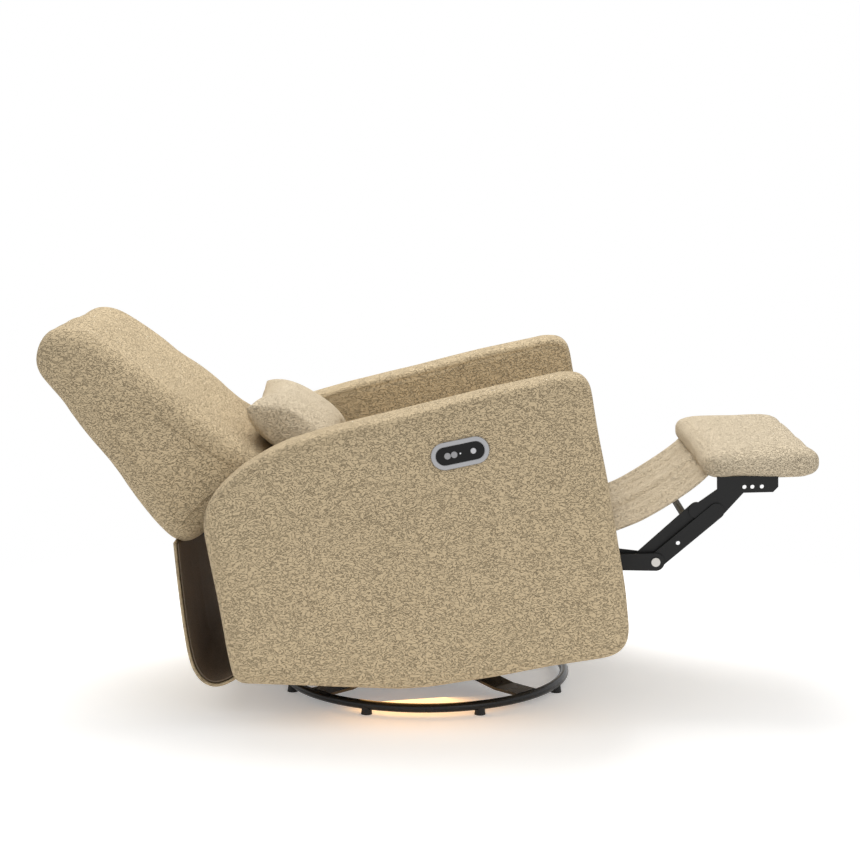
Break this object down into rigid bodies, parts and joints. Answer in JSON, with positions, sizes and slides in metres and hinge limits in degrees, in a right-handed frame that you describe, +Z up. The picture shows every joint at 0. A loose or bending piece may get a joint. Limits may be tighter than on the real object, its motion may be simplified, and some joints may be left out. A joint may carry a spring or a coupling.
{
  "type": "swivel glider recliner",
  "caption": "Upholstered power recliner on a round swivel glider base, shown fully reclined with footrest out, lumbar pillow and arm control panel.",
  "frame": {"origin": "on the floor, on the swivel axis of the round base", "axes": "+X towards the front of the chair, +Y to the sitter's left, +Z up along the swivel axis"},
  "size_m": [1.4838, 0.7932, 0.7478],
  "materials": {
    "frame_gloss_black": "gloss black enamel",
    "mechanism_black": "semi-gloss black enamel on pressed steel",
    "pivot_zinc": "bright zinc-plated",
    "timber": "planed hardwood",
    "core_board": "plywood",
    "boucle": "looped boucle weave",
    "lining": "dark woven lining",
    "webbing": "elastic woven webbing",
    "bezel_silver": "satin chrome",
    "panel_black": "gloss black",
    "cup_black": "moulded",
    "button_grey": "satin grey",
    "button_pale": "satin pale grey",
    "lamp_white": "translucent",
    "drive_black": "fine-textured moulding",
    "rod_steel": "ground and chromed",
    "foot_plastic": "moulded"
  },
  "bodies": {
    "base": {"base_ring": "frame_gloss_black", "base_cross_bars": "frame_gloss_black", "glide_feet": "foot_plastic", "swivel_lower_plate": "mechanism_black", "swivel_ball_race": "pivot_zinc"},
    "turntable": {"swivel_upper_plate": "mechanism_black", "swivel_king_pin": "pivot_zinc", "stand_channels": "mechanism_black", "stand_plates": "mechanism_black", "stand_pivot_pins": "pivot_zinc"},
    "glide_front": {"glide_links_front": "mechanism_black"},
    "glide_rear": {"glide_links_rear": "mechanism_black"},
    "platform": {"platform_cross_tubes": "mechanism_black", "platform_rails": "mechanism_black", "platform_side_plates": "mechanism_black", "platform_pivot_pins": "pivot_zinc"},
    "lift_lower": {"lift_links_lower": "mechanism_black"},
    "lift_upper": {"lift_links_upper": "mechanism_black"},
    "chair_body": {"mechanism_plates": "mechanism_black", "chassis_cross_tubes": "mechanism_black", "torque_tube_ears": "mechanism_black", "side_rails": "timber", "rear_stretcher": "timber", "front_rail": "timber", "rear_rail": "timber", "seat_webbing": "webbing", "seat_cushion": "boucle", "arm_core_left": "core_board", "arm_cover_left": "boucle", "arm_core_right": "core_board", "arm_cover_right": "boucle", "control_cup": "cup_black", "control_bezel": "bezel_silver", "control_plate": "panel_black", "status_lamp": "lamp_white", "back_pivot_bosses": "mechanism_black", "lever_pins": "pivot_zinc", "power_inlet": "cup_black", "leg_rest_cloth": "boucle", "rear_flap": "lining"},
    "open_key": {"button_open": "button_grey"},
    "close_key": {"button_close": "button_grey"},
    "home_key": {"button_home": "button_pale"},
    "backrest": {"back_frame": "timber", "back_cushion": "boucle", "back_hinge_plates": "mechanism_black"},
    "pillow": {"lumbar_pillow": "boucle"},
    "lever": {"footrest_levers": "mechanism_black", "knee_pins": "pivot_zinc"},
    "link": {"footrest_links": "mechanism_black"},
    "second_link": {"second_links": "mechanism_black", "footrest_cross_bar": "mechanism_black"},
    "second_lever": {"second_levers": "mechanism_black", "torque_tube": "mechanism_black"},
    "ottoman": {"ottoman_brackets": "mechanism_black", "ottoman_pins": "pivot_zinc", "footrest_board": "core_board", "footrest_pad": "boucle"},
    "drive": {"drive_housing": "drive_black"},
    "drive_rod": {"drive_rod": "rod_steel"}
  },
  "joints": [
    {"name": "swivel", "type": "hinge", "parent": "base", "child": "turntable", "pos_m": [0, 0, 0.058], "axis": [0, 0, 1], "continuous": true},
    {"name": "glide", "type": "hinge", "parent": "turntable", "child": "glide_front", "pos_m": [0.05, 0, 0.19], "axis": [0, 1, 0], "range_deg": [-20, 20]},
    {"name": "glide_rear_swing", "type": "hinge", "parent": "turntable", "child": "glide_rear", "pos_m": [-0.11, 0, 0.19], "axis": [0, 1, 0], "range_deg": [-20, 20]},
    {"name": "platform_swing", "type": "hinge", "parent": "glide_front", "child": "platform", "pos_m": [0.05, 0, 0.084], "axis": [0, 1, 0], "range_deg": [-20, 20]},
    {"name": "recline", "type": "hinge", "parent": "platform", "child": "chair_body", "pos_m": [-0.05, 0, 0.215], "axis": [0, 1, 0], "range_deg": [0, 10]},
    {"name": "lift_lower_swing", "type": "hinge", "parent": "platform", "child": "lift_lower", "pos_m": [0.09, 0, 0.12], "axis": [0, 1, 0], "range_deg": [-23, 0]},
    {"name": "lift_upper_swing", "type": "hinge", "parent": "chair_body", "child": "lift_upper", "pos_m": [0.11007, 0, 0.19002], "axis": [0, 1, 0], "range_deg": [0, 15.6]},
    {"name": "back_recline", "type": "hinge", "parent": "chair_body", "child": "backrest", "pos_m": [-0.34281, 0, 0.32076], "axis": [0, 1, 0], "range_deg": [0, 26], "deforming": ["rear_flap"]},
    {"name": "pillow_lean", "type": "hinge", "parent": "chair_body", "child": "pillow", "pos_m": [-0.19, 0, 0.44], "axis": [0, 1, 0], "range_deg": [0, 26]},
    {"name": "footrest", "type": "hinge", "parent": "chair_body", "child": "lever", "pos_m": [0.28542, 0, 0.34786], "axis": [0, 1, 0], "range_deg": [0, 105.5], "deforming": ["leg_rest_cloth"]},
    {"name": "link_fold", "type": "hinge", "parent": "lever", "child": "link", "pos_m": [0.44296, 0, 0.29695], "axis": [0, 1, 0], "range_deg": [-134.76, 0]},
    {"name": "ottoman_turn", "type": "hinge", "parent": "link", "child": "ottoman", "pos_m": [0.55696, 0, 0.39503], "axis": [0, 1, 0], "range_deg": [0, 110.72]},
    {"name": "second_link_fold", "type": "hinge", "parent": "ottoman", "child": "second_link", "pos_m": [0.52002, 0, 0.39603], "axis": [0, 1, 0], "range_deg": [-110.72, 0]},
    {"name": "second_lever_turn", "type": "hinge", "parent": "chair_body", "child": "second_lever", "pos_m": [0.27668, 0, 0.39283], "axis": [0, 1, 0], "range_deg": [0, 85.81]},
    {"name": "drive_swing", "type": "hinge", "parent": "chair_body", "child": "drive", "pos_m": [-0.24174, 0, 0.23704], "axis": [0, 1, 0], "range_deg": [-3.29, 0]},
    {"name": "rod_slide", "type": "slide", "parent": "drive", "child": "drive_rod", "axis": [0.9712, 0, 0.2383], "range_m": [-0.02326, 0]},
    {"name": "open_key_press", "type": "slide", "parent": "chair_body", "child": "open_key", "axis": [0, 1, 0], "range_m": [0, 0.0015], "stiffness_N_per_m": 300, "springref_m": -0.0007},
    {"name": "close_key_press", "type": "slide", "parent": "chair_body", "child": "close_key", "axis": [0, 1, 0], "range_m": [0, 0.0015], "stiffness_N_per_m": 300, "springref_m": -0.0007},
    {"name": "home_key_press", "type": "slide", "parent": "chair_body", "child": "home_key", "axis": [0, 1, 0], "range_m": [0, 0.0015], "stiffness_N_per_m": 300, "springref_m": -0.0007}
  ],
  "couplings": [
    {"joint": "glide_rear_swing", "follows": "glide", "ratio": 1},
    {"joint": "platform_swing", "follows": "glide", "ratio": -1},
    {"joint": "lift_lower_swing", "follows": "recline", "ratio": -2.3},
    {"joint": "lift_upper_swing", "follows": "recline", "ratio": 1.56},
    {"joint": "back_recline", "follows": "recline", "ratio": 2.6},
    {"joint": "pillow_lean", "follows": "recline", "ratio": 2.6},
    {"joint": "link_fold", "follows": "footrest", "ratio": -1.2774},
    {"joint": "ottoman_turn", "follows": "footrest", "ratio": 1.0495},
    {"joint": "second_link_fold", "follows": "footrest", "ratio": -1.0495},
    {"joint": "second_lever_turn", "follows": "footrest", "ratio": 0.81336},
    {"joint": "drive_swing", "follows": "footrest", "ratio": -0.031221},
    {"joint": "rod_slide", "follows": "footrest", "m_per_rad": -0.01263}
  ]
}
